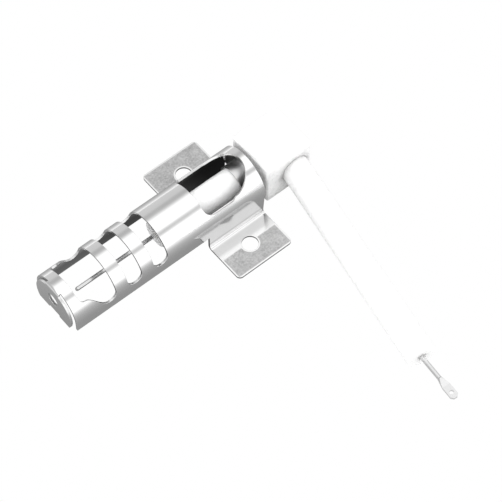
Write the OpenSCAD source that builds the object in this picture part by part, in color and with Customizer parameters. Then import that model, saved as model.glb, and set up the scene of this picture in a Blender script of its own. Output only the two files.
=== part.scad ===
// Ignition electrode for a burner or boiler: a bent ceramic insulator carried in a
// pressed steel hood that has two mounting wings and a folded spark target.
// Frame: origin midway between the two wing holes on the mounting face (z = 0),
// X runs along the hood from the spark target (-X) to the ceramic head (+X),
// Y runs across the wings, and the long ceramic arm leaves towards -Y.

/* [Hood] */
// Outer width of the hood across its two legs
hood_w = 20; // [18:0.5:24]
// Height of the roof's top above the mounting face
roof_h = 20; // [19:0.5:24]
// Thickness of the sheet
sheet = 0.8; // [0.6:0.1:1]
// Distance from the hole line forward to the hood's front edge
hood_front = 61.8; // [50:0.5:75]
// Distance from the hole line back to the roof's rear edge
hood_rear = 11.6; // [11:0.1:13]
// Height of the front section's free lower edge
rim_h = 6.6; // [5.5:0.1:8]
// Inside radius of the pressed bends
bend_r = 1; // [0.6:0.1:1.5]

/* [Slots and window] */
// Width of the two plain slots along the hood
slot_w = 5.5; // [4:0.1:6.6]
// Distance from one slot to the next
slot_pitch = 9.9; // [8.5:0.1:12]
// Distance from the hole line forward to the last slot's rear edge
slot_rear = 26.5; // [22:0.5:30]
// Height at which the slots end in the legs
slot_end_h = 10.7; // [9.5:0.1:12]
// Length of the stepped first slot
slot_first_w = 12.1; // [10:0.1:13]
// Distance from the hole line forward to the window's front edge
window_front = 10.1; // [7:0.1:14]
// Distance from the hole line back to the window's rounded end
window_rear = 9.6; // [8:0.1:10]
// Radius of the window's rounded end, seen from above
window_end_r = 8; // [6:0.1:8.2]
// Angle that the window takes out of the roof
window_angle = 118; // [90:1:124]
// Radius of the window's two front corners
window_corner = 3.6; // [1.5:0.1:5]

/* [Mounting wings] */
// Length of each wing along the hood
wing_l = 21.5; // [18:0.5:21.5]
// Overall width across both wings
wing_span = 48.7; // [46:0.1:56]
// Distance between the two mounting holes
hole_pitch = 33; // [31:0.5:38]
// Diameter of each mounting hole
hole_d = 5.4; // [4.2:0.1:6.5]
// Radius of the wings' outer corners
wing_corner = 1.5; // [1:0.5:5]

/* [Spark target] */
// Radius of the round target plate
target_r = 8.6; // [7:0.1:8.8]
// Height of the target's centre
target_h = 10.6; // [10:0.1:11]
// Height of the target's straight lower edge
target_bottom = 6.2; // [5:0.1:7.5]
// Diameter of the hole in the target
target_hole_d = 4.7; // [3:0.1:5]
// Height of the hole in the target
target_hole_h = 13.1; // [12:0.1:14]
// Width of the fold that carries the target
fold_w = 6.2; // [4:0.1:8]
// Width of the shallow recess in the target's lower edge
notch_w = 5; // [3:0.5:7]
// Depth of the shallow recess
notch_d = 0.9; // [0.4:0.1:1.2]

/* [Ceramic] */
// Diameter of the ceramic rod and of the long arm
ceramic_d = 9.5; // [8:0.1:10.5]
// Distance from the hole line forward to the rod's front face
rod_front = 24.1; // [21:0.1:30]
// Distance from the hole line back to the head's front face
head_front = 13.5; // [13:0.1:16]
// Length of the head along the hood
head_l = 17.6; // [16:0.1:22]
// Width of the head across the hood
head_w = 17.2; // [15:0.1:20]
// Height of the head
head_h = 17; // [15:0.1:18]
// Bevel on the head's edges
head_bevel = 0.5; // [0.2:0.1:1]
// Length of the arm beyond the head's side
arm_l = 76.6; // [60:0.5:95]
// Angle by which the arm leans towards the hood's front
arm_splay = 10.6; // [5:0.1:14]
// Radius on the arm's rim and on the rod's front rim
rim_round = 0.6; // [0.2:0.1:1]
// Depth of the sockets that hold the rod and the arm in the head
socket_depth = 5; // [4:0.5:6]
// Gap around each cemented or gripped fit
fit_gap = 0.1; // [0.05:0.01:0.15]

/* [Conductor] */
// Diameter of the spark wire
spark_wire_d = 1.3; // [1:0.1:1.6]
// Distance from the hole line forward to the spark wire's tip
spark_tip = 54.7; // [45:0.1:58]
// Diameter of the lead wire in the arm
lead_wire_d = 1.5; // [1.2:0.1:2]
// Diameter of the wire bore in the rod
rod_bore_d = 2; // [1.9:0.1:3]
// Diameter of the wire bore in the arm
arm_bore_d = 3; // [2.6:0.1:4]
// Length of round wire between the arm's end and the blade
wire_out = 8.6; // [5:0.1:12]
// Length of the flattened blade
blade_l = 8; // [7:0.1:11]
// Width of the blade
blade_w = 2.8; // [2.2:0.1:4.8]
// Thickness of the blade
blade_t = 0.8; // [0.5:0.1:1]
// Diameter of the hole in the blade
blade_hole_d = 1.4; // [1:0.1:1.6]
// Angle by which the terminal leans towards the hood's front
blade_lean = 4.6; // [0:0.1:12]
// Diameter of the connector inside the head
joint_d = 4; // [3.6:0.1:5]

/* [Retainer] */
// Length of the drawn neck that grips the rod
neck_l = 4.4; // [3:0.1:5]
// Distance from the hole line back to the retainer's front web face
web_x = 10.6; // [10:0.1:11]

/* [Hidden] */
$fn = 96;

roof_r = hood_w / 2;
inner_r = roof_r - sheet;
axis_h = roof_h - roof_r;
bend_out = bend_r + sheet;
slot_end_r = slot_w / 2;
target_x = -hood_front - sheet - 0.4;
head_side = head_w / 2;
head_base = axis_h - head_h / 2;
head_rear = head_front + head_l;
socket_r = ceramic_d / 2 + fit_gap;
arm_x = head_rear - ceramic_d / 2 - 1.6;
arm_inner_x = arm_x + head_side * tan(arm_splay);
cavity_d = joint_d + 2;
joint_l = 3.6;
lead_in = 0.8;
web_notch = 0.5;
plug_l = min(2.6, head_rear - arm_inner_x - joint_l / 2 - fit_gap - 0.2);
seal_l = 3;
arm_recess = 1.6;
taper_l = 3.2;

// Half of the sheet's cross-section in the rear section: leg, bend and wing.
// The first coordinate is y, the second is z.
module rear_half_profile() {
    translate([inner_r, bend_out]) square([sheet, axis_h - bend_out]);
    translate([roof_r + bend_r, 0]) square([wing_span / 2 - roof_r - bend_r, sheet]);
    translate([roof_r + bend_r, bend_out]) difference() {
        intersection() {
            circle(r = bend_out);
            translate([-bend_out, -bend_out]) square([bend_out, bend_out]);
        }
        circle(r = bend_r);
    }
}

// Cross-section of the roof from one springing line to the other.
module roof_profile() {
    translate([0, axis_h]) difference() {
        circle(r = roof_r);
        circle(r = inner_r);
        translate([-roof_r - 1, -roof_r - 1]) square([2 * roof_r + 2, roof_r + 1]);
    }
}

// Stands a y-z cross-section on the X axis between two x values.
module along_x(x0, x1) {
    translate([x0, 0, 0]) rotate([90, 0, 90]) linear_extrude(height = x1 - x0) children();
}

// Pushes an x-z outline right through the hood along Y.
module across_y(half) {
    translate([0, half, 0]) rotate([90, 0, 0]) linear_extrude(height = 2 * half) children();
}

// Side outline of a plain slot whose rear edge is at x = rear.
module slot_outline(rear) {
    translate([rear - slot_w, slot_end_h + slot_end_r]) square([slot_w, roof_h]);
    translate([rear - slot_end_r, slot_end_h + slot_end_r]) circle(r = slot_end_r);
}

// Side outline of the stepped slot: a round lobe at the rear, a cosine rise up to
// a shoulder, and a rounded corner under the front band.
module first_slot_outline(rear) {
    front = rear - slot_first_w;
    low = slot_end_h - 0.6;
    lobe_x = rear - slot_end_r;
    shoulder_x = front + 1.8;
    rise = 5.9;
    corner = 1.8;
    polygon(concat(
        [[rear, 2 * roof_h]],
        [for (i = [0 : 10]) [lobe_x + slot_end_r * cos(9 * i), low + slot_end_r * (1 - sin(9 * i))]],
        [for (i = [1 : 16]) [lobe_x + (shoulder_x - lobe_x) * i / 16,
            low + rise * (1 - cos(180 * i / 16)) / 2]],
        [for (i = [1 : 8]) [shoulder_x + (front - shoulder_x) * sin(11.25 * i),
            low + rise + corner * (1 - cos(11.25 * i))]],
        [[front, 2 * roof_h]]));
}

// The window: a radial cut through the roof whose rear end is round in plan and
// whose two front corners are rounded.
module window_cut() {
    start = -window_front;
    end_x = window_rear - window_end_r;
    turn = window_angle / 2 - asin(window_corner / (roof_r + 0.15));
    difference() {
        window_opening(start, end_x);
        for (side = [-1, 1])
            translate([start, 0, axis_h]) rotate([side * turn, 0, 0]) linear_extrude(height = 2 * roof_r)
                difference() {
                    translate([-1, side > 0 ? -window_corner - 1 : 0])
                        square([window_corner + 1, window_corner + 1]);
                    translate([window_corner, 0]) circle(r = window_corner);
                }
    }
}

module window_opening(start, end_x) {
    intersection() {
        translate([start, 0, axis_h]) rotate([0, 90, 0]) rotate([0, 0, 180 - window_angle / 2])
            rotate_extrude(angle = window_angle)
                translate([2, 0]) square([roof_r, window_front + window_rear + 1]);
        linear_extrude(height = 2 * roof_h) {
            polygon([[start, -roof_r], [end_x - 4.6, -roof_r], [end_x, -window_end_r],
                [end_x, window_end_r], [end_x - 4.6, roof_r], [start, roof_r]]);
            translate([end_x, 0]) circle(r = window_end_r);
        }
    }
}

module target_plate() {
    along_x(target_x, target_x + sheet) difference() {
        translate([0, target_h]) circle(r = target_r);
        translate([-target_r, target_h - target_r - 1])
            square([2 * target_r, target_bottom - target_h + target_r + 1]);
        translate([-notch_w / 2, target_bottom - 1]) square([notch_w, 1 + notch_d]);
    }
}

// The fold from the roof's front edge down to the target.
module target_fold() {
    out_r = -hood_front - target_x;
    top = roof_h - 0.1;
    translate([-hood_front, fold_w / 2, top - out_r]) rotate([90, 0, 0])
        linear_extrude(height = fold_w) difference() {
            intersection() {
                circle(r = out_r);
                translate([-out_r, 0]) square([out_r, out_r]);
            }
            circle(r = out_r - sheet);
        }
    translate([-hood_front, -fold_w / 2, top - sheet]) cube([1.4, fold_w, sheet]);
    translate([target_x, -fold_w / 2, target_h]) cube([sheet, fold_w, top - out_r - target_h]);
}

module hood() {
    color("silver") difference() {
        union() {
            along_x(-hood_front, hood_rear) roof_profile();
            for (m = [0, 1]) mirror([0, m, 0]) {
                translate([-hood_front, inner_r, rim_h])
                    cube([hood_front + hood_rear, sheet, axis_h - rim_h]);
                translate([-wing_l / 2, inner_r, bend_out])
                    cube([wing_l / 2 + hood_rear, sheet, axis_h - bend_out]);
                along_x(-wing_l / 2, wing_l / 2) rear_half_profile();
            }
            target_plate();
            target_fold();
        }
        for (s = [-1, 1]) translate([0, s * hole_pitch / 2, -1]) cylinder(d = hole_d, h = sheet + 2);
        translate([target_x - 1, 0, target_hole_h]) rotate([0, 90, 0])
            cylinder(d = target_hole_d, h = sheet + 2);
        across_y(roof_r + 1) for (i = [0, 1]) slot_outline(-slot_rear - i * slot_pitch);
        across_y(roof_r + 1) first_slot_outline(-slot_rear - 2 * slot_pitch);
        window_cut();
        across_y(roof_r + bend_r) polygon([[wing_l / 2, bend_out], [hood_rear, axis_h + 2],
            [hood_rear + 1, axis_h + 2], [hood_rear + 1, 0], [wing_l / 2, 0]]);
        for (m = [0, 1], n = [0, 1]) mirror([0, m, 0]) mirror([n, 0, 0])
            translate([wing_l / 2 - wing_corner, wing_span / 2 - wing_corner, -1]) difference() {
                cube([wing_corner + 1, wing_corner + 1, sheet + 2]);
                translate([0, 0, -1]) cylinder(r = wing_corner, h = sheet + 4);
            }
    }
}

// Pressed retainer across the hood's rear: a web that fills the arch, with a drawn
// neck that grips the rod.
module retaining_clip() {
    web_r = inner_r - fit_gap;
    color("gainsboro") difference() {
        union() {
            along_x(web_x, web_x + sheet) difference() {
                union() {
                    translate([0, axis_h]) circle(r = web_r);
                    translate([-web_r, rim_h]) square([2 * web_r, axis_h - rim_h]);
                }
                translate([-web_r - 1, -roof_r]) square([2 * web_r + 2, roof_r + rim_h]);
                for (s = [-1, 1]) translate([s * web_r - web_notch, 8]) square([2 * web_notch, axis_h - 4.5]);
            }
            translate([web_x - neck_l, 0, axis_h]) rotate([0, 90, 0])
                cylinder(r = socket_r + sheet * 0.75, h = neck_l + sheet);
        }
        translate([web_x - neck_l - 1, 0, axis_h]) rotate([0, 90, 0])
            cylinder(r = socket_r, h = neck_l + sheet + 2);
    }
}

// Round ceramic bar with a wire bore; one end face has a rounded rim.
module ceramic_bar(length, bore) {
    rotate_extrude() difference() {
        union() {
            translate([0, rim_round]) square([ceramic_d / 2, length - rim_round]);
            square([ceramic_d / 2 - rim_round, rim_round + 0.01]);
            translate([ceramic_d / 2 - rim_round, rim_round]) circle(r = rim_round, $fn = 48);
        }
        square([bore / 2, length]);
    }
}

module insulator_rod() {
    color("white") translate([-rod_front, 0, axis_h]) rotate([0, 90, 0])
        ceramic_bar(rod_front + head_front + socket_depth, rod_bore_d);
}

// Places a piece on the arm's axis: its own z = 0 is where the axis leaves the
// head's side, and +z runs out along the arm.
module on_arm_axis() {
    translate([arm_x, -head_side, axis_h]) rotate([90, 0, 0]) rotate([0, -arm_splay, 0]) children();
}

module insulator_arm() {
    color("white") on_arm_axis() translate([0, 0, arm_l]) mirror([0, 0, 1])
        ceramic_bar(arm_l + socket_depth, arm_bore_d);
}

// Bevelled square used on all three axes of the head.
module bevelled(w, h) {
    b = head_bevel;
    polygon([[b, 0], [w - b, 0], [w, b], [w, h - b], [w - b, h], [b, h], [0, h - b], [0, b]]);
}

module insulator_head() {
    color("white") difference() {
        intersection() {
            translate([head_front, -head_side, head_base]) rotate([90, 0, 90])
                linear_extrude(height = head_l) bevelled(head_w, head_h);
            translate([head_front, head_side, head_base]) rotate([90, 0, 0])
                linear_extrude(height = head_w) bevelled(head_l, head_h);
            translate([head_front, -head_side, head_base])
                linear_extrude(height = head_h) bevelled(head_l, head_w);
        }
        translate([head_front - 1, 0, axis_h]) rotate([0, 90, 0])
            cylinder(r = socket_r, h = socket_depth + 1);
        translate([head_front + 1, 0, axis_h]) rotate([0, 90, 0]) cylinder(d = cavity_d, h = head_l);
        on_arm_axis() translate([0, 0, -socket_depth])
            cylinder(r = socket_r, h = socket_depth + socket_r);
        on_arm_axis() translate([0, 0, -head_side]) cylinder(d = arm_bore_d, h = head_side);
    }
}

// Cement plug that closes the head's rear.
module head_plug() {
    color("whitesmoke") translate([head_rear - plug_l - 0.2, 0, axis_h]) rotate([0, 90, 0])
        cylinder(d = cavity_d - 2 * fit_gap, h = plug_l);
}

module spark_wire() {
    wire_end = arm_inner_x - lead_wire_d / 2 - 3 * fit_gap;
    color("darkgray") translate([-spark_tip, 0, axis_h]) rotate([0, 90, 0]) {
        translate([0, 0, spark_wire_d / 2]) cylinder(d = spark_wire_d, h = spark_tip + wire_end - spark_wire_d / 2);
        translate([0, 0, spark_wire_d / 2]) sphere(d = spark_wire_d);
    }
}

// Connector in which the spark wire and the lead wire meet inside the head.
module joint_sleeve() {
    color("goldenrod") difference() {
        translate([arm_inner_x - joint_l / 2, 0, axis_h]) rotate([0, 90, 0])
            cylinder(d = joint_d, h = joint_l);
        translate([arm_inner_x - joint_l, 0, axis_h]) rotate([0, 90, 0])
            cylinder(d = spark_wire_d + 2 * fit_gap, h = joint_l);
        on_arm_axis() translate([0, 0, -head_side / cos(arm_splay)])
            cylinder(d = lead_wire_d + 2 * fit_gap, h = joint_d);
    }
}

// Lead wire through the arm, ending in a flattened blade with a hole.
module terminal() {
    lead_l = arm_l + (head_side - lead_in) / cos(arm_splay);
    color("darkgray") {
        on_arm_axis() translate([0, 0, arm_l - lead_l]) cylinder(d = lead_wire_d, h = lead_l);
        on_arm_axis() translate([0, 0, arm_l]) sphere(d = lead_wire_d + 0.06);
        on_arm_axis() translate([0, 0, arm_l]) rotate([0, arm_splay - blade_lean, 0]) {
            cylinder(d = lead_wire_d, h = wire_out);
            intersection() {
                translate([0, 0, wire_out]) cylinder(d1 = lead_wire_d, d2 = blade_w + 0.1, h = taper_l);
                translate([-blade_w / 2, 0, wire_out]) rotate([90, 0, 90]) linear_extrude(height = blade_w)
                    polygon([[-lead_wire_d / 2 - 0.1, 0], [lead_wire_d / 2 + 0.1, 0],
                        [blade_t / 2, taper_l], [-blade_t / 2, taper_l]]);
            }
            difference() {
                translate([0, blade_t / 2, wire_out + taper_l]) rotate([90, 0, 0])
                    linear_extrude(height = blade_t) polygon([[-blade_w / 2, -0.1], [blade_w / 2, -0.1],
                        [blade_w / 2, blade_l - taper_l - 0.8], [blade_w / 2 - 0.8, blade_l - taper_l],
                        [0.8 - blade_w / 2, blade_l - taper_l], [-blade_w / 2, blade_l - taper_l - 0.8]]);
                translate([0, 1, wire_out + blade_l - 2.1]) rotate([90, 0, 0])
                    cylinder(d = blade_hole_d, h = 2);
            }
        }
    }
}

module seal(bore, wire) {
    difference() {
        cylinder(d = bore - 0.1, h = seal_l);
        translate([0, 0, -1]) cylinder(d = wire + 0.1, h = seal_l + 2);
    }
}

module front_seal() {
    color("beige") translate([-rod_front + 0.05, 0, axis_h]) rotate([0, 90, 0])
        seal(rod_bore_d, spark_wire_d);
}

module arm_seal() {
    color("beige") on_arm_axis() translate([0, 0, arm_l - arm_recess - seal_l])
        seal(arm_bore_d, lead_wire_d);
}

hood();
retaining_clip();
insulator_rod();
insulator_head();
insulator_arm();
head_plug();
spark_wire();
joint_sleeve();
terminal();
front_seal();
arm_seal();
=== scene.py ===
import bpy
import bmesh
import math
import numpy as np
from mathutils import Matrix, Vector
from mathutils.geometry import delaunay_2d_cdt


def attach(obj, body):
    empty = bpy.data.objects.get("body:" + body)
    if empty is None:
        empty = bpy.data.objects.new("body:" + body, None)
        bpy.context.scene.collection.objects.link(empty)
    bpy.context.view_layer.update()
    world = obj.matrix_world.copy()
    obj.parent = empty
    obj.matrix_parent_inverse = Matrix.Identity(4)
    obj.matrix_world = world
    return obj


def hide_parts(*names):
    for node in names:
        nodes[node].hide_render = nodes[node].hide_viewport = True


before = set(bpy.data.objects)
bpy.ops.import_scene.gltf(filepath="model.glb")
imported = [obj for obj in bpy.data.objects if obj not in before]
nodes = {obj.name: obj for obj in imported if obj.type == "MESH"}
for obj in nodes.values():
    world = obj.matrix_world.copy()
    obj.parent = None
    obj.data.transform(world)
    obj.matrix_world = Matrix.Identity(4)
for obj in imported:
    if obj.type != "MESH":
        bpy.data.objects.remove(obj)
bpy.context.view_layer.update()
print("frame loaded with", len(nodes), "nodes")


def newMaterial(name):
    mat = bpy.data.materials.new(name)
    mat.use_nodes = True
    tree = mat.node_tree
    tree.nodes.clear()
    out = tree.nodes.new("ShaderNodeOutputMaterial")
    shader = tree.nodes.new("ShaderNodeBsdfPrincipled")
    tree.links.new(shader.outputs["BSDF"], out.inputs["Surface"])
    return mat, tree, shader


def addNode(tree, kind, **settings):
    node = tree.nodes.new(kind)
    for key, value in settings.items():
        setattr(node, key, value)
    return node


def feed(tree, socket, source):
    if isinstance(source, bpy.types.NodeSocket):
        tree.links.new(source, socket)
    else:
        socket.default_value = source


def mathNode(tree, operation, a, b=0.0, c=0.0, clamp=False):
    node = addNode(tree, "ShaderNodeMath", operation=operation, use_clamp=clamp)
    for socket, value in zip(node.inputs, (a, b, c)):
        feed(tree, socket, value)
    return node.outputs[0]


def noise(tree, vector, scale, detail=4.0, roughness=0.5):
    node = addNode(tree, "ShaderNodeTexNoise")
    feed(tree, node.inputs["Vector"], vector)
    node.inputs["Scale"].default_value = scale
    node.inputs["Detail"].default_value = detail
    node.inputs["Roughness"].default_value = roughness
    return node.outputs["Fac"]


def remap(tree, value, fromLow, fromHigh, toLow, toHigh, smooth=False):
    node = addNode(tree, "ShaderNodeMapRange", clamp=True)
    if smooth:
        node.interpolation_type = "SMOOTHSTEP"
    feed(tree, node.inputs["Value"], value)
    for name, v in (("From Min", fromLow), ("From Max", fromHigh), ("To Min", toLow), ("To Max", toHigh)):
        feed(tree, node.inputs[name], v)
    return node.outputs["Result"]


def stretched(tree, vector, scale, turn=(0, 0, 0)):
    node = addNode(tree, "ShaderNodeMapping")
    feed(tree, node.inputs["Vector"], vector)
    node.inputs["Rotation"].default_value = turn
    node.inputs["Scale"].default_value = scale
    return node.outputs["Vector"]


def mixColor(tree, factor, a, b, blend="MIX"):
    node = addNode(tree, "ShaderNodeMix", data_type="RGBA", blend_type=blend)
    feed(tree, node.inputs["Factor"], factor)
    feed(tree, node.inputs["A"], a)
    feed(tree, node.inputs["B"], b)
    return node.outputs["Result"]


def mixFloat(tree, factor, a, b):
    node = addNode(tree, "ShaderNodeMix", data_type="FLOAT")
    for socket, value in zip(node.inputs[:1] + node.inputs[2:4], (factor, a, b)):
        feed(tree, socket, value)
    return node.outputs[0]


def grey(value, alpha=1.0):
    return (value, value, value, alpha)


def newGroup(name, inputs, outputs):
    group = bpy.data.node_groups.new(name, "ShaderNodeTree")
    for label, kind, value in inputs:
        socket = group.interface.new_socket(label, in_out="INPUT", socket_type=kind)
        if value is not None:
            socket.default_value = value
    for label, kind in outputs:
        group.interface.new_socket(label, in_out="OUTPUT", socket_type=kind)
    return group, addNode(group, "NodeGroupInput"), addNode(group, "NodeGroupOutput")


def placeGroup(tree, group, **values):
    node = addNode(tree, "ShaderNodeGroup")
    node.node_tree = group
    for label, value in values.items():
        feed(tree, node.inputs[label], value)
    return node


sheetGrain = {
    "lineScale": (90, 2600, 2600),  # lines run along X
    "cloudScale": 160.0,
    "markScale": (900, 5200, 5200),
    "markTurn": (0.2, 0.1, 0.5),
    "markRange": (0.66, 0.74),  # only the strongest marks show as scratches
    "cloudTone": 0.06,
    "cloudRoughness": 0.12,
    "scratchRoughness": 0.05,
    "lineShare": 0.6,  # of the relief; scratches make the rest
    "reliefDepth": 0.00005,
}


# rolled sheet: fine lines along the rolling direction, faint scratches and handling marks
def buildRolledSheet():
    group, gin, gout = newGroup(
        "rolledSheet",
        [("Position", "NodeSocketVector", None), ("Tone", "NodeSocketColor", grey(0.8)),
         ("Roughness", "NodeSocketFloat", 0.15), ("Grain", "NodeSocketFloat", 0.3)],
        [("Color", "NodeSocketColor"), ("Roughness", "NodeSocketFloat"), ("Height", "NodeSocketFloat")])
    position = gin.outputs["Position"]
    lines = noise(group, stretched(group, position, sheetGrain["lineScale"]), 1.0, 3.0, 0.6)
    cloud = noise(group, position, sheetGrain["cloudScale"], 3.0, 0.55)
    marks = stretched(group, position, sheetGrain["markScale"], sheetGrain["markTurn"])
    scratches = remap(group, noise(group, marks, 1.0, 2.0, 0.7), *sheetGrain["markRange"], 0.0, 1.0)
    shade = mathNode(group, "MULTIPLY", mathNode(group, "SUBTRACT", lines, 0.5), gin.outputs["Grain"])
    drift = mathNode(group, "MULTIPLY", mathNode(group, "SUBTRACT", cloud, 0.5), sheetGrain["cloudTone"])
    factor = mathNode(group, "ADD", 1.0, mathNode(group, "ADD", shade, drift))
    tint = addNode(group, "ShaderNodeCombineColor")
    for socket in tint.inputs[:3]:
        group.links.new(factor, socket)
    color = mixColor(group, 1.0, gin.outputs["Tone"], tint.outputs[0], "MULTIPLY")
    group.links.new(color, gout.inputs["Color"])
    uneven = mathNode(group, "SUBTRACT", cloud, 0.45)
    uneven = mathNode(group, "MULTIPLY", uneven, sheetGrain["cloudRoughness"])
    rough = mathNode(group, "ADD", gin.outputs["Roughness"], uneven)
    scored = mathNode(group, "MULTIPLY", scratches, sheetGrain["scratchRoughness"])
    group.links.new(mathNode(group, "ADD", rough, scored, clamp=True), gout.inputs["Roughness"])
    height = mathNode(group, "ADD", mathNode(group, "MULTIPLY", lines, sheetGrain["lineShare"]),
                      mathNode(group, "MULTIPLY", scratches, 1.0 - sheetGrain["lineShare"]))
    group.links.new(height, gout.inputs["Height"])
    return group


glazeGrain = {
    "driftScale": 90.0,
    "poreScale": 2600.0,
    "poreRange": (0.73, 0.78),  # only the deepest pores show as specks
    "creamTone": (0.95, 0.95, 0.945, 1),
    "speckTone": 0.55,
    "sheenScale": 420.0,
    "sheen": (0.2, 0.34),  # roughness of the glaze, smoothest and dullest
    "waveScale": 520.0,
    "poreDepth": 0.15,  # next to the glaze's waves
    "reliefDepth": 0.00003,
}


# glazed ceramic: slow tone drift, sparse specks and a slightly uneven glaze
def buildGlaze():
    group, gin, gout = newGroup(
        "glaze",
        [("Position", "NodeSocketVector", None), ("Tone", "NodeSocketColor", grey(0.9)),
         ("Speck", "NodeSocketFloat", 0.2)],
        [("Color", "NodeSocketColor"), ("Roughness", "NodeSocketFloat"), ("Height", "NodeSocketFloat")])
    position = gin.outputs["Position"]
    drift = remap(group, noise(group, position, glazeGrain["driftScale"], 3.0, 0.5), 0.3, 0.7, 0.0, 1.0)
    pores = noise(group, position, glazeGrain["poreScale"], 2.0, 0.5)
    deepest = remap(group, pores, *glazeGrain["poreRange"], 0.0, 1.0)
    specks = mathNode(group, "MULTIPLY", deepest, gin.outputs["Speck"])
    toned = mixColor(group, drift, gin.outputs["Tone"], glazeGrain["creamTone"])
    group.links.new(mixColor(group, specks, toned, grey(glazeGrain["speckTone"])), gout.inputs["Color"])
    sheen = noise(group, position, glazeGrain["sheenScale"], 4.0, 0.6)
    group.links.new(remap(group, sheen, 0.3, 0.7, *glazeGrain["sheen"]), gout.inputs["Roughness"])
    waves = noise(group, position, glazeGrain["waveScale"], 3.0, 0.5)
    height = mathNode(group, "ADD", waves, mathNode(group, "MULTIPLY", pores, glazeGrain["poreDepth"]))
    group.links.new(height, gout.inputs["Height"])
    return group


rolledSheet = buildRolledSheet()
glaze = buildGlaze()


def objectPosition(tree):
    return addNode(tree, "ShaderNodeTexCoord").outputs["Object"]


def splitParts(tree, vector):
    node = addNode(tree, "ShaderNodeSeparateXYZ")
    tree.links.new(vector, node.inputs[0])
    return node.outputs["X"], node.outputs["Y"], node.outputs["Z"]


def hypotenuse(tree, a, b):
    return mathNode(tree, "SQRT", mathNode(tree, "ADD", mathNode(tree, "MULTIPLY", a, a),
                                           mathNode(tree, "MULTIPLY", b, b)))


def bumped(tree, shader, height, strength, distance):
    bump = addNode(tree, "ShaderNodeBump")
    bump.inputs["Strength"].default_value = strength
    bump.inputs["Distance"].default_value = distance
    tree.links.new(height, bump.inputs["Height"])
    tree.links.new(bump.outputs["Normal"], shader.inputs["Normal"])


# places are in metres; away is the distance from the hood's middle plane
hoodFinish = {
    "tone": 0.84,
    "roughness": 0.11,
    "grain": 0.05,
    "wingTone": 0.5,
    "wingDark": 0.7,  # mottling, as shares of wingTone
    "wingLight": 1.25,
    "wingRoughness": 0.3,
    "wingTop": 0.0013,  # height under which the sheet counts as wing
    "wingTopBlend": 1.6,
    "wingInner": 0.0112,  # away at which the far wing's mill surface starts
    "nearBright": 0.0159,  # the near wing keeps its bright rolled face out to here
    "wingBlend": 0.0005,
    "wingEdge": 0.02435,
    "wingEnd": 0.01075,
    "holeAt": 0.0165,
    "holeEdge": 0.0027,
    "rimWidth": 0.00042,  # polished border round the wings and their holes
    "rimBlend": 0.00015,
    "mottleScale": 1500.0,
    "patchScale": 260.0,
    "mottleShare": 0.7,
    "mottleRange": (0.36, 0.64),
    "mottleRelief": 2.0,
    "relief": 0.05,
}


# bright pressed sheet whose wings keep a mottled mill surface
def makeHoodSteel():
    f = hoodFinish
    mat, tree, shader = newMaterial("hoodSteel")
    position = objectPosition(tree)
    sheet = placeGroup(tree, rolledSheet, Position=position, Tone=grey(f["tone"]),
                       Roughness=f["roughness"], Grain=f["grain"])
    x, y, z = splitParts(tree, position)
    away = mathNode(tree, "ABSOLUTE", y)
    along = mathNode(tree, "ABSOLUTE", x)
    low = remap(tree, z, f["wingTop"], f["wingTop"] * f["wingTopBlend"], 1.0, 0.0)
    inner = mixFloat(tree, mathNode(tree, "LESS_THAN", y, 0.0), f["wingInner"], f["nearBright"])
    beyond = mathNode(tree, "SUBTRACT", away, inner)
    wing = mathNode(tree, "MULTIPLY", low, remap(tree, beyond, 0.0, f["wingBlend"], 0.0, 1.0, True))
    ring = hypotenuse(tree, along, mathNode(tree, "SUBTRACT", away, f["holeAt"]))
    borders = ((away, f["wingEdge"], -1), (along, f["wingEnd"], -1), (ring, f["holeEdge"], 1))
    for distance, limit, sign in borders:
        clear = (limit + sign * f["rimWidth"]) * sign
        signed = mathNode(tree, "MULTIPLY", distance, sign)
        wing = mathNode(tree, "MULTIPLY", wing, remap(tree, signed, clear, clear + f["rimBlend"], 0.0, 1.0))
    mottle = noise(tree, position, f["mottleScale"], 5.0, 0.7)
    patches = noise(tree, position, f["patchScale"], 3.0, 0.6)
    mixed = mathNode(tree, "ADD", mathNode(tree, "MULTIPLY", mottle, f["mottleShare"]),
                     mathNode(tree, "MULTIPLY", patches, 1.0 - f["mottleShare"]))
    shade = remap(tree, mixed, *f["mottleRange"], 0.0, 1.0)
    dark, bright = (grey(f["wingTone"] * f[share]) for share in ("wingDark", "wingLight"))
    wingColor = mixColor(tree, shade, dark, bright)
    tree.links.new(mixColor(tree, wing, sheet.outputs["Color"], wingColor), shader.inputs["Base Color"])
    rough = mixFloat(tree, wing, sheet.outputs["Roughness"], f["wingRoughness"])
    tree.links.new(rough, shader.inputs["Roughness"])
    shader.inputs["Metallic"].default_value = 1.0
    grit = mathNode(tree, "MULTIPLY", mathNode(tree, "MULTIPLY", mottle, wing), f["mottleRelief"])
    height = mathNode(tree, "ADD", sheet.outputs["Height"], grit)
    bumped(tree, shader, height, f["relief"], sheetGrain["reliefDepth"])
    return mat


# plain rolled or drawn metal; lowTone, if given, takes over under the height lowTop, in metres
def makeSheetSteel(name, tone, roughness, grain, relief, lowTone=None, lowTop=0.0):
    mat, tree, shader = newMaterial(name)
    position = objectPosition(tree)
    sheet = placeGroup(tree, rolledSheet, Position=position, Tone=grey(tone),
                       Roughness=roughness, Grain=grain)
    color = sheet.outputs["Color"]
    if lowTone is not None:
        low = remap(tree, splitParts(tree, position)[2], lowTop, lowTop * 1.5, 1.0, 0.0)
        color = mixColor(tree, low, color, grey(lowTone))
    tree.links.new(color, shader.inputs["Base Color"])
    tree.links.new(sheet.outputs["Roughness"], shader.inputs["Roughness"])
    shader.inputs["Metallic"].default_value = 1.0
    bumped(tree, shader, sheet.outputs["Height"], relief, sheetGrain["reliefDepth"])
    return mat


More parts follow.
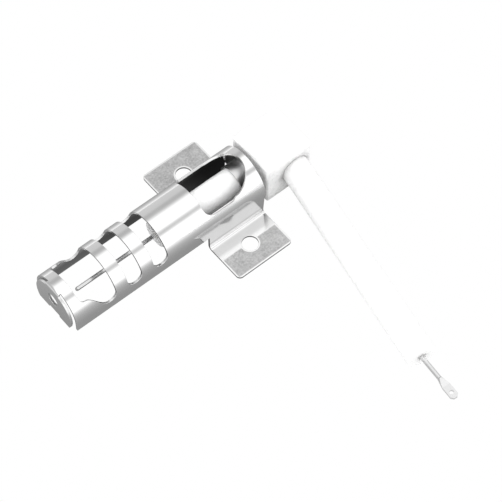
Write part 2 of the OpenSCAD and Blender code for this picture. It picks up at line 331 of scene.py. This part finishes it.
# cut edges of the hood's sheet; low down, on the wings' outer edges, they are darker
cutFinish = {"tone": 0.8, "roughness": 0.25, "grain": 0.05, "relief": 0.03, "lowTone": 0.3, "lowTop": 0.001}
clipFinish = {"tone": 0.72, "roughness": 0.32, "grain": 0.08, "relief": 0.08}
sparkFinish = {"tone": 0.7, "roughness": 0.16, "grain": 0.02, "relief": 0.01}
leadFinish = {"tone": 0.72, "roughness": 0.28, "grain": 0.03, "relief": 0.02}

ceramicFinish = {
    "tone": 0.925,
    "speck": 0.06,
    "glow": 0.7,  # share of the light that spreads inside the ceramic
    "glowDepth": 0.004,
    "reach": 0.008,  # how far away a neighbour still brings painted shade onto the glaze
    "openFrom": 0.15,
    "openTo": 0.9,
    "rodTone": 0.75,  # painted shade tone deep in the gaps round the rod, the block and the arm
    "blockTone": 0.02,
    "armTone": 0.6,
    "sideways": (-0.8, 0.0),  # the normal's Y over which the painted shade fades
    "elsewhere": 0.2,  # share of the painted shade on all other faces
    "index": 1.5,
    "relief": 0.01,
}


# white glaze with painted shade: it greys where the surface is closed in, on faces that look towards -Y most
# of all
def makeCeramic(name, gapShadeTone):
    f = ceramicFinish
    mat, tree, shader = newMaterial(name)
    coat = placeGroup(tree, glaze, Position=objectPosition(tree), Tone=grey(f["tone"]),
                      Speck=f["speck"])
    # painted shade: ambient occlusion, weighted towards faces that look to -Y, mixes the colour towards the
    # dark gap tone
    gap = addNode(tree, "ShaderNodeAmbientOcclusion", samples=16)
    gap.inputs["Distance"].default_value = f["reach"]
    paintedShade = remap(tree, gap.outputs["AO"], f["openFrom"], f["openTo"], 1.0, 0.0, True)
    facing = splitParts(tree, addNode(tree, "ShaderNodeTexCoord").outputs["Normal"])[1]
    share = remap(tree, facing, *f["sideways"], 1.0, f["elsewhere"], True)
    paintedShade = mathNode(tree, "MULTIPLY", paintedShade, share)
    tree.links.new(mixColor(tree, paintedShade, coat.outputs["Color"], grey(gapShadeTone)), shader.inputs["Base Color"])
    tree.links.new(coat.outputs["Roughness"], shader.inputs["Roughness"])
    shader.inputs["IOR"].default_value = f["index"]
    shader.inputs["Subsurface Weight"].default_value = f["glow"]
    shader.inputs["Subsurface Radius"].default_value = (1.0, 1.0, 1.0)
    shader.inputs["Subsurface Scale"].default_value = f["glowDepth"]
    bumped(tree, shader, coat.outputs["Height"], f["relief"], glazeGrain["reliefDepth"])
    return mat


cementFinish = {
    "sandScale": 3200.0,
    "dark": (0.5, 0.48, 0.44, 1),
    "pale": (0.86, 0.84, 0.8, 1),
    "roughness": (0.75, 0.95),
    "relief": 0.5,
    "reliefDepth": 0.0001,
}


def makeCement():
    f = cementFinish
    mat, tree, shader = newMaterial("cement")
    sand = noise(tree, objectPosition(tree), f["sandScale"], 6.0, 0.7)
    tree.links.new(mixColor(tree, sand, f["dark"], f["pale"]), shader.inputs["Base Color"])
    tree.links.new(remap(tree, sand, 0.3, 0.7, *f["roughness"]), shader.inputs["Roughness"])
    bumped(tree, shader, sand, f["relief"], f["reliefDepth"])
    return mat


brassFinish = {
    "ringScale": (4200, 60, 60),  # turning marks run round X
    "dark": (0.6, 0.44, 0.18, 1),
    "bright": (0.82, 0.66, 0.34, 1),
    "roughness": (0.25, 0.4),
    "relief": 0.1,
    "reliefDepth": 0.00005,
}


def makeBrass():
    f = brassFinish
    mat, tree, shader = newMaterial("turnedBrass")
    rings = noise(tree, stretched(tree, objectPosition(tree), f["ringScale"]), 1.0, 3.0, 0.6)
    tree.links.new(mixColor(tree, rings, f["dark"], f["bright"]), shader.inputs["Base Color"])
    tree.links.new(remap(tree, rings, 0.3, 0.7, *f["roughness"]), shader.inputs["Roughness"])
    shader.inputs["Metallic"].default_value = 1.0
    bumped(tree, shader, rings, f["relief"], f["reliefDepth"])
    return mat


def paint(name, mat):
    mesh = nodes[name].data
    if not mesh.materials:
        mesh.materials.append(mat)
    for i in range(len(mesh.materials)):
        mesh.materials[i] = mat


cement = makeCement()
hoodSteel = makeHoodSteel()
cutSteel = makeSheetSteel("cutSteel", **cutFinish)
paint("retaining_clip", makeSheetSteel("clipSteel", **clipFinish))
# each ceramic part gets its own dark tone for the painted shade in its gaps
for part, place in (("rod", "insulator_rod"), ("block", "insulator_head"), ("arm", "insulator_arm")):
    paint(place, makeCeramic(part + "Ceramic", ceramicFinish[part + "Tone"]))
for name in ("head_plug", "front_seal", "arm_seal"):
    paint(name, cement)
paint("spark_wire", makeSheetSteel("sparkWire", **sparkFinish))
paint("terminal", makeSheetSteel("leadWire", **leadFinish))
paint("joint_sleeve", makeBrass())
print("materials done")


# all in mm and degrees; x places count from the holes' midpoint, as the frame's do
sheetForm = {
    "roofRadius": 10.0,
    "axisHeight": 10.0,
    "thickness": 0.8,
    "front": -61.8,
    "rear": 11.6,
    "rimHeight": 6.6,
    "bendRadius": 1.0,
    "wingFront": -10.75,
    "wingRear": 10.75,
    "wingEdge": 24.35,
    "wingCorner": 1.5,
    "holeAt": 16.5,
    "holeRadius": 2.7,
    "slotWidth": 5.5,
    "slotRears": (-26.5, -36.4),
    "slotEnd": 10.7,  # lowest height of the slots
    "firstSlot": (-46.3, -58.4),  # its rear and front ends
    "firstDrop": 0.6,  # the first slot reaches this much lower
    "firstShoulder": (1.8, 5.9),  # its front shoulder: rounding radius and rise
    "windowFront": -10.1,
    "windowRear": 9.6,
    "windowRound": 8.0,
    "windowHalfAngle": 59.0,
    "windowCorner": 3.6,
    "windowTaper": 4.6,  # length of the run-in to the round end, for a window as wide as the roof
    "foldRadius": 1.2,
    "foldTop": 19.9,
    "foldHalf": 3.1,
    "targetRadius": 8.6,
    "targetHeight": 10.6,
    "targetBottom": 6.2,
    "targetHole": (13.1, 2.35),  # height and radius
    "notch": (2.5, 0.9),  # half width and depth
    "legSlope": 2.0,  # the rear edge starts to slope this far above the roof's axis
    "edgeRound": 0.1,
    "outlineStep": 0.25,
    "gridStep": (1.1, 0.7),
    "gridClear": 0.4,  # grid points keep this far from every outline
    "bendSteps": 9,
    "edgeAngle": 50.0,
}


# length along the outer face from the ridge down to a height z, for z above the lower bend
def runOfHeight(z):
    f = sheetForm
    r, h = f["roofRadius"], f["axisHeight"]
    z = np.asarray(z, float)
    onRoof = r * np.arccos(np.clip((z - h) / r, -1, 1))
    return np.where(z >= h, onRoof, r * math.pi / 2 + h - z)


# bends the flat blank, in mm: x runs along the hood, run is the distance from the ridge along the face.
# run up to a quarter circle is roof, then a straight leg, a quarter-round bend and a flat wing;
# ahead of the front edge the blank turns down a quarter round of foldRadius and hangs as the target
def bendBlank(x, run):
    f = sheetForm
    r, h, b, t = f["roofRadius"], f["axisHeight"], f["bendRadius"], f["thickness"]
    side, a = np.sign(run), np.abs(run)
    quarter = r * math.pi / 2
    legEnd = quarter + h - b - t
    wingStart = legEnd + b * math.pi / 2
    y = np.where(a < quarter, r * np.sin(np.minimum(a, quarter) / r), r)
    z = np.where(a < quarter, h + r * np.cos(np.minimum(a, quarter) / r), h - (a - quarter))
    turn = np.clip((a - legEnd) / b, 0, math.pi / 2)
    y = np.where(a > legEnd, r + b - b * np.cos(turn), y)
    z = np.where(a > legEnd, b + t - b * np.sin(turn), z)
    y = np.where(a > wingStart, r + b + a - wingStart, y)
    ahead = np.maximum(f["front"] - x, 0)
    blend = np.clip(ahead / f["foldRadius"], 0, 1)
    blend = blend * blend * (3 - 2 * blend)
    fr = f["foldRadius"]
    angle = np.minimum(ahead / fr, math.pi / 2)
    top = z * (1 - blend) + f["foldTop"] * blend
    y = np.where(ahead > 0, y * (1 - blend) + a * blend, y)
    z = np.where(ahead > 0, top - fr + fr * np.cos(angle) - np.maximum(ahead - fr * math.pi / 2, 0), z)
    px = np.where(ahead > 0, f["front"] - fr * np.sin(angle), x)
    return np.stack([px, side * y, z], axis=-1) / 1000


# points along straight lines between corners, at most outlineStep apart
def lineThrough(corners):
    out = []
    for p, q in zip(corners[:-1], corners[1:]):
        n = max(1, int(math.ceil(math.dist(p, q) / sheetForm["outlineStep"])))
        k = np.arange(n)[:, None] / n
        out.append(np.array(p) * (1 - k) + np.array(q) * k)
    return np.concatenate(out + [np.array(corners[-1:])])


def arcPoints(centre, radius, start, end):
    n = max(6, int(abs(math.radians(end - start)) * radius / sheetForm["outlineStep"]))
    a = np.radians(np.linspace(start, end, n + 1))
    return np.stack([centre[0] + radius * np.cos(a), centre[1] + radius * np.sin(a)], axis=-1)


# the same side outline cut through both legs: near side, over the roof, far side
def slotLoop(side):
    run = runOfHeight(side[:, 1])
    near = np.stack([side[:, 0], -run], axis=-1)
    far = np.stack([side[:, 0], run], axis=-1)[::-1]
    over = lineThrough([near[-1], far[0]])[1:-1]
    back = lineThrough([far[-1], near[0]])[1:-1]
    return np.concatenate([near, over, far, back])


# plain slot: straight sides and a round end, from one upper corner round to the other
def plainSlotSide(rear):
    f = sheetForm
    r = f["slotWidth"] / 2
    return arcPoints((rear - r, f["slotEnd"] + r), r, 0, -180)


# stepped slot: round lobe, cosine rise to a shoulder, rounded corner under the front band
def firstSlotSide():
    f = sheetForm
    rear, front = f["firstSlot"]
    r = f["slotWidth"] / 2
    low = f["slotEnd"] - f["firstDrop"]
    corner, rise = f["firstShoulder"]
    lobe, shoulder = rear - r, front + corner
    k = np.linspace(0, 1, 25)[1:]
    swell = np.stack([lobe + (shoulder - lobe) * k, low + rise * (1 - np.cos(math.pi * k)) / 2], axis=-1)
    k = np.linspace(0, math.pi / 2, 15)[1:]
    turn = np.stack([shoulder + (front - shoulder) * np.sin(k),
                     low + rise + corner * (1 - np.cos(k))], axis=-1)
    return np.concatenate([arcPoints((lobe, low + r), r, 0, -90), swell, turn])


# window: straight front edge with rounded corners, sides at a fixed angle, an end that is round in plan
def windowLoop():
    f = sheetForm
    r, front = f["roofRadius"], f["windowFront"]
    edge = r * math.radians(f["windowHalfAngle"])
    centre = f["windowRear"] - f["windowRound"]
    plan = arcPoints((centre, 0), f["windowRound"], -90, 90)
    end = np.stack([plan[:, 0], r * np.arcsin(plan[:, 1] / r)], axis=-1)
    start = centre - f["windowTaper"] * (r * math.sin(edge / r) - f["windowRound"]) / (r - f["windowRound"])
    q = f["windowCorner"]
    near = arcPoints((front + q, q - edge), q, 180, 270)
    far = near[::-1] * np.array([1, -1])
    top = lineThrough([tuple(far[-1]), tuple(near[0])])
    head = lineThrough([tuple(near[-1]), (start, -edge), tuple(end[0])])
    tail = lineThrough([tuple(end[-1]), (start, edge), tuple(far[0])])
    return np.concatenate([top[:-1], near[:-1], head, end[1:], tail[1:-1], far[:-1]])


# outer outline of the blank with the fold and the target plate ahead of the front edge
def blankOutline():
    f = sheetForm
    rim = float(runOfHeight(f["rimHeight"]))
    legEnd = f["roofRadius"] * math.pi / 2 + f["axisHeight"] - f["bendRadius"] - f["thickness"]
    wingStart = legEnd + f["bendRadius"] * math.pi / 2
    wingEnd = wingStart + f["wingEdge"] - f["roofRadius"] - f["bendRadius"]
    slopeTop = float(runOfHeight(f["axisHeight"] + f["legSlope"]))
    bend = f["foldRadius"] * math.pi / 2

    def ahead(z):
        return f["front"] - bend - (f["foldTop"] - f["foldRadius"] - z)

    c, wf, wr = f["wingCorner"], f["wingFront"], f["wingRear"]
    centre, radius = ahead(f["targetHeight"]), f["targetRadius"]
    bottom = ahead(f["targetBottom"])
    startAngle = math.degrees(math.asin(f["foldHalf"] / radius))
    endAngle = math.degrees(math.acos((bottom - centre) / radius))
    plate = arcPoints((centre, 0), radius, startAngle, endAngle)
    halfNotch, deep = f["notch"]
    upper = [
        lineThrough([(f["front"], f["foldHalf"]), (f["front"], rim), (wf, rim), (wf, wingEnd - c)])[:-1],
        arcPoints((wf + c, wingEnd - c), c, 180, 90),
        arcPoints((wr - c, wingEnd - c), c, 90, 0),
        lineThrough([(wr, wingEnd - c), (wr, legEnd), (f["rear"], slopeTop), (f["rear"], 0.0)])[1:],
    ]
    notch = [(bottom + deep, 0.0), (bottom + deep, halfNotch), (bottom, halfNotch), tuple(plate[-1])]
    neck = [tuple(plate[0]), (f["front"], f["foldHalf"])]
    half = np.concatenate([lineThrough(notch)[:-1], plate[::-1], lineThrough(neck)[1:-1]] + upper)
    other = half[::-1][1:-1] * np.array([1, -1])
    return np.concatenate([half, other]), ahead, wingStart


# true for each point that lies inside a closed loop: a ray along x crosses the loop an odd number of times
def insideLoop(points, loop):
    x, y = points[:, 0][:, None], points[:, 1][:, None]
    a, b = loop, np.roll(loop, -1, axis=0)
    crossing = (a[:, 1] > y) != (b[:, 1] > y)
    rise = np.where(b[:, 1] == a[:, 1], 1e-12, b[:, 1] - a[:, 1])
    return (np.sum(crossing & (x < a[:, 0] + (y - a[:, 1]) / rise * (b[:, 0] - a[:, 0])), axis=1) % 2) == 1


# flat blank filled with triangles, bent, given its wall and its broken edges
def makeHood():
    f = sheetForm
    outline, ahead, wingStart = blankOutline()
    holes = [slotLoop(plainSlotSide(rear)) for rear in f["slotRears"]]
    holes += [slotLoop(firstSlotSide()), windowLoop()]
    holeRun = wingStart + f["holeAt"] - f["roofRadius"] - f["bendRadius"]
    holes += [arcPoints((0, s * holeRun), f["holeRadius"], 0, 360)[:-1] for s in (-1, 1)]
    height, radius = f["targetHole"]
    holes.append(arcPoints((ahead(height), 0), radius, 0, 360)[:-1])
    loops = [outline] + holes
    rim = np.concatenate(loops)
    stepX, stepRun = f["gridStep"]
    fine = np.linspace(0, math.pi / 2, f["bendSteps"])
    legEnd = wingStart - f["bendRadius"] * math.pi / 2
    gridX = np.arange(outline[:, 0].min(), outline[:, 0].max(), stepX)
    gridX = np.unique(np.concatenate([gridX, f["front"] - f["foldRadius"] * fine]))
    gridRun = np.arange(0, outline[:, 1].max(), stepRun)
    gridRun = np.concatenate([gridRun, legEnd + f["bendRadius"] * fine])
    gridRun = np.unique(np.concatenate([gridRun, -gridRun]))
    grid = np.stack(np.meshgrid(gridX, gridRun), axis=-1).reshape(-1, 2)
    keep = insideLoop(grid, outline)
    for hole in holes:
        keep &= ~insideLoop(grid, hole)
    grid = grid[keep]
    for loop in loops:
        nearest = np.min(np.linalg.norm(grid[:, None, :] - loop[None, :, :], axis=2), axis=1)
        grid = grid[nearest > f["gridClear"]]
    edges, start = [], 0
    for loop in loops:
        index = np.arange(len(loop)) + start
        edges += list(zip(index.tolist(), np.roll(index, -1).tolist()))
        start += len(loop)
    flat = [Vector(p) for p in np.concatenate([rim, grid]).tolist()]
    points, _, faces, _, _, _ = delaunay_2d_cdt(flat, edges, [], 0, 1e-5)
    points = np.array([tuple(p) for p in points])
    faces = np.array(faces)
    middle = points[faces].mean(axis=1)
    keep = insideLoop(middle, outline)
    for hole in holes:
        keep &= ~insideLoop(middle, hole)
    faces = faces[keep]
    mesh = bpy.data.meshes.new("pressedHood")
    mesh.from_pydata(bendBlank(points[:, 0], points[:, 1]).tolist(), [], faces.tolist())
    mesh.validate()
    loose = bmesh.new()
    loose.from_mesh(mesh)
    bmesh.ops.delete(loose, geom=[v for v in loose.verts if not v.link_faces], context="VERTS")
    bmesh.ops.recalc_face_normals(loose, faces=loose.faces)
    ridge = max(loose.faces, key=lambda face: face.calc_center_median().z)
    if ridge.normal.z < 0:
        bmesh.ops.reverse_faces(loose, faces=loose.faces)
    loose.to_mesh(mesh)
    loose.free()
    mesh.shade_smooth()
    mesh.materials.append(hoodSteel)
    mesh.materials.append(cutSteel)
    hood = bpy.data.objects.new("pressedHood", mesh)
    bpy.context.scene.collection.objects.link(hood)
    wall = hood.modifiers.new("wall", "SOLIDIFY")
    wall.thickness = f["thickness"] / 1000
    wall.offset = -1.0
    wall.material_offset_rim = 1
    wall.use_even_offset = True
    edge = hood.modifiers.new("brokenEdge", "BEVEL")
    edge.width = f["edgeRound"] / 1000
    edge.segments = 3
    edge.limit_method = "ANGLE"
    edge.angle_limit = math.radians(f["edgeAngle"])
    edge.use_clamp_overlap = False
    edge.harden_normals = True
    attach(hood, "root")
    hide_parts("hood")


makeHood()
print("hood bent")


# places in metres, except where a note says mm
stage = {
    "floorHeight": -0.0004,  # just under the wings, so the two don't share a plane
    "floorSize": 6.0,
    "floorDiffuse": 0.85,
    # floor that polished metal sees, with a painted shadow of the hood: brightness far off, beside the hood,
    # and the distance that parts the two
    "floorOpen": 1.15,
    "floorNear": 0.3,
    "floorFade": 0.1,
    # painted shadow in the strip under the hood: half its width, its soft edge, its brightness along the
    # middle and at the edge, its middle along X and half its straight length
    "coverReach": 0.0105,
    "coverSoft": 0.0015,
    "coverAxis": 0.03,
    "coverEdge": 0.1,
    "coverCentre": -0.022,
    "coverHalf": 0.030,
    # sky brightness that lights matt and glazed surfaces: overhead, at the horizon, and the
    # upward share of a direction from which it is as bright as overhead
    "skyTop": 1.6,
    "skyRim": 0.7,
    "skyFull": 0.8,
    # sky brightness that polished metal sees, by tilt in degrees from straight up towards -Y
    "skyGlow": [(-180, 0.75), (-62, 0.69), (-45, 0.53), (-17, 1.28), (19, 1.28), (33, 0.7), (47, 1.28),
                (180, 1.28)],
    # how the painted shadow's brightness changes under the hood, by x in mm
    "underHood": [(-70, 5.0), (-61, 4.0), (-58, 2.2), (-44, 2.0), (-29, 1.1), (-12, 0.85), (6, 0.14),
                  (30, 0.1)],
}


# a smooth curve through (place, value) pairs, read at a value that runs from the first place to the last
def glowCurve(tree, value, pairs):
    low, high = pairs[0][0], pairs[-1][0]
    node = addNode(tree, "ShaderNodeFloatCurve")
    curve = node.mapping.curves[0]
    top = max(v for _, v in pairs)
    points = [((place - low) / (high - low), v / top) for place, v in pairs]
    curve.points[0].location = points[0]
    curve.points[1].location = points[-1]
    for point in points[1:-1]:
        curve.points.new(*point)
    for point in curve.points:
        point.handle_type = "AUTO_CLAMPED"
    node.mapping.update()
    feed(tree, node.inputs["Value"], remap(tree, value, low, high, 0.0, 1.0))
    return mathNode(tree, "MULTIPLY", node.outputs["Value"], top)


# white where it is seen straight, matt grey to the light, and to polished metal it shows a painted shadow
# near and under the hood
def makeFloor():
    f = stage
    mat = bpy.data.materials.new("paleFloor")
    mat.use_nodes = True
    tree = mat.node_tree
    tree.nodes.clear()
    out = tree.nodes.new("ShaderNodeOutputMaterial")
    path = addNode(tree, "ShaderNodeLightPath")
    x, y, _ = splitParts(tree, objectPosition(tree))
    # painted shadow: the floor glow that polished metal sees dims towards the hood and darkens under it
    fromCentre = mathNode(tree, "ABSOLUTE", mathNode(tree, "SUBTRACT", x, f["coverCentre"]))
    beyond = mathNode(tree, "MAXIMUM", mathNode(tree, "SUBTRACT", fromCentre, f["coverHalf"]), 0.0)
    reach = hypotenuse(tree, y, beyond)
    past = mathNode(tree, "DIVIDE", mathNode(tree, "SUBTRACT", f["coverReach"], reach), f["floorFade"])
    shade = mathNode(tree, "MULTIPLY", mathNode(tree, "EXPONENT", past), f["floorOpen"] - f["floorNear"])
    openFloor = mathNode(tree, "SUBTRACT", f["floorOpen"], shade)
    inner = f["coverReach"] - f["coverSoft"]
    across = remap(tree, reach, 0.0, inner, f["coverAxis"], f["coverEdge"])
    under = glowCurve(tree, mathNode(tree, "MULTIPLY", x, 1000.0), f["underHood"])
    covered = remap(tree, reach, inner, f["coverReach"], 1.0, 0.0)
    glow = mixFloat(tree, covered, openFloor, mathNode(tree, "MULTIPLY", under, across))
    seen = addNode(tree, "ShaderNodeEmission")
    feed(tree, seen.inputs["Strength"], mixFloat(tree, path.outputs["Is Camera Ray"], glow, 1.0))
    matt = addNode(tree, "ShaderNodeBsdfDiffuse")
    matt.inputs["Color"].default_value = grey(f["floorDiffuse"])
    mix = addNode(tree, "ShaderNodeMixShader")
    shown = mathNode(tree, "MAXIMUM", path.outputs["Is Camera Ray"], path.outputs["Is Glossy Ray"])
    tree.links.new(shown, mix.inputs["Fac"])
    tree.links.new(matt.outputs[0], mix.inputs[1])
    tree.links.new(seen.outputs[0], mix.inputs[2])
    tree.links.new(mix.outputs[0], out.inputs["Surface"])
    half, z = f["floorSize"] / 2, f["floorHeight"]
    corners = [(-half, -half, z), (half, -half, z), (half, half, z), (-half, half, z)]
    mesh = bpy.data.meshes.new("floor")
    mesh.from_pydata(corners, [], [(0, 1, 2, 3)])
    floor = bpy.data.objects.new("floor", mesh)
    bpy.context.scene.collection.objects.link(floor)
    mesh.materials.append(mat)


# soft white sky; polished metal sees two broad lit panels with a narrow gap between them and a dimmer
# far side, and everything else sees plain light that falls off to the horizon
def makeSky():
    world = bpy.data.worlds.new("studio")
    bpy.context.scene.world = world
    world.use_nodes = True
    tree = world.node_tree
    tree.nodes.clear()
    out = tree.nodes.new("ShaderNodeOutputWorld")
    back = addNode(tree, "ShaderNodeBackground")
    back.inputs["Color"].default_value = grey(1.0)
    _, y, z = splitParts(tree, addNode(tree, "ShaderNodeTexCoord").outputs["Generated"])
    tilt = mathNode(tree, "ARCTAN2", mathNode(tree, "MULTIPLY", y, -1.0), z)
    glow = glowCurve(tree, mathNode(tree, "DEGREES", tilt), stage["skyGlow"])
    light = remap(tree, z, 0.0, stage["skyFull"], stage["skyRim"], stage["skyTop"])
    path = addNode(tree, "ShaderNodeLightPath")
    feed(tree, back.inputs["Strength"], mixFloat(tree, path.outputs["Is Glossy Ray"], light, glow))
    world.cycles.sampling_method = "NONE"  # every ray then meets the sky as its own kind
    tree.links.new(back.outputs[0], out.inputs["Surface"])


# angles in degrees and lengths in metres; the shifts move the camera off the line to the frame's origin
view = {
    "azimuth": 39.26,
    "elevation": 58.94,
    "roll": -0.26,
    "distance": 0.738,
    "span": 0.157367,  # width of the picture where the frame's origin is
    "sensor": 36.0,  # millimetres
    "clip": (0.01, 20.0),
    "sideways": -0.01078,
    "upwards": 0.0129,
}


def makeCamera():
    azimuth, elevation, roll = (math.radians(view[k]) for k in ("azimuth", "elevation", "roll"))
    side = Vector((math.cos(azimuth), -math.sin(azimuth), 0))
    ahead = Vector((math.sin(azimuth), math.cos(azimuth), 0))
    forward = math.cos(elevation) * ahead - math.sin(elevation) * Vector((0, 0, 1))
    up = math.sin(elevation) * ahead + math.cos(elevation) * Vector((0, 0, 1))
    right = math.cos(roll) * side + math.sin(roll) * up
    top = -math.sin(roll) * side + math.cos(roll) * up
    place = -forward * view["distance"] - right * view["sideways"] - top * view["upwards"]
    data = bpy.data.cameras.new("camera")
    data.sensor_width = view["sensor"]
    data.lens = view["sensor"] * view["distance"] / view["span"]
    data.clip_start, data.clip_end = view["clip"]
    camera = bpy.data.objects.new("camera", data)
    bpy.context.scene.collection.objects.link(camera)
    camera.matrix_world = Matrix((
        (right.x, top.x, -forward.x, place.x),
        (right.y, top.y, -forward.y, place.y),
        (right.z, top.z, -forward.z, place.z),
        (0, 0, 0, 1)))
    bpy.context.scene.camera = camera


makeFloor()
makeSky()
makeCamera()
bpy.context.scene.view_settings.view_transform = "Standard"
print("stage done")
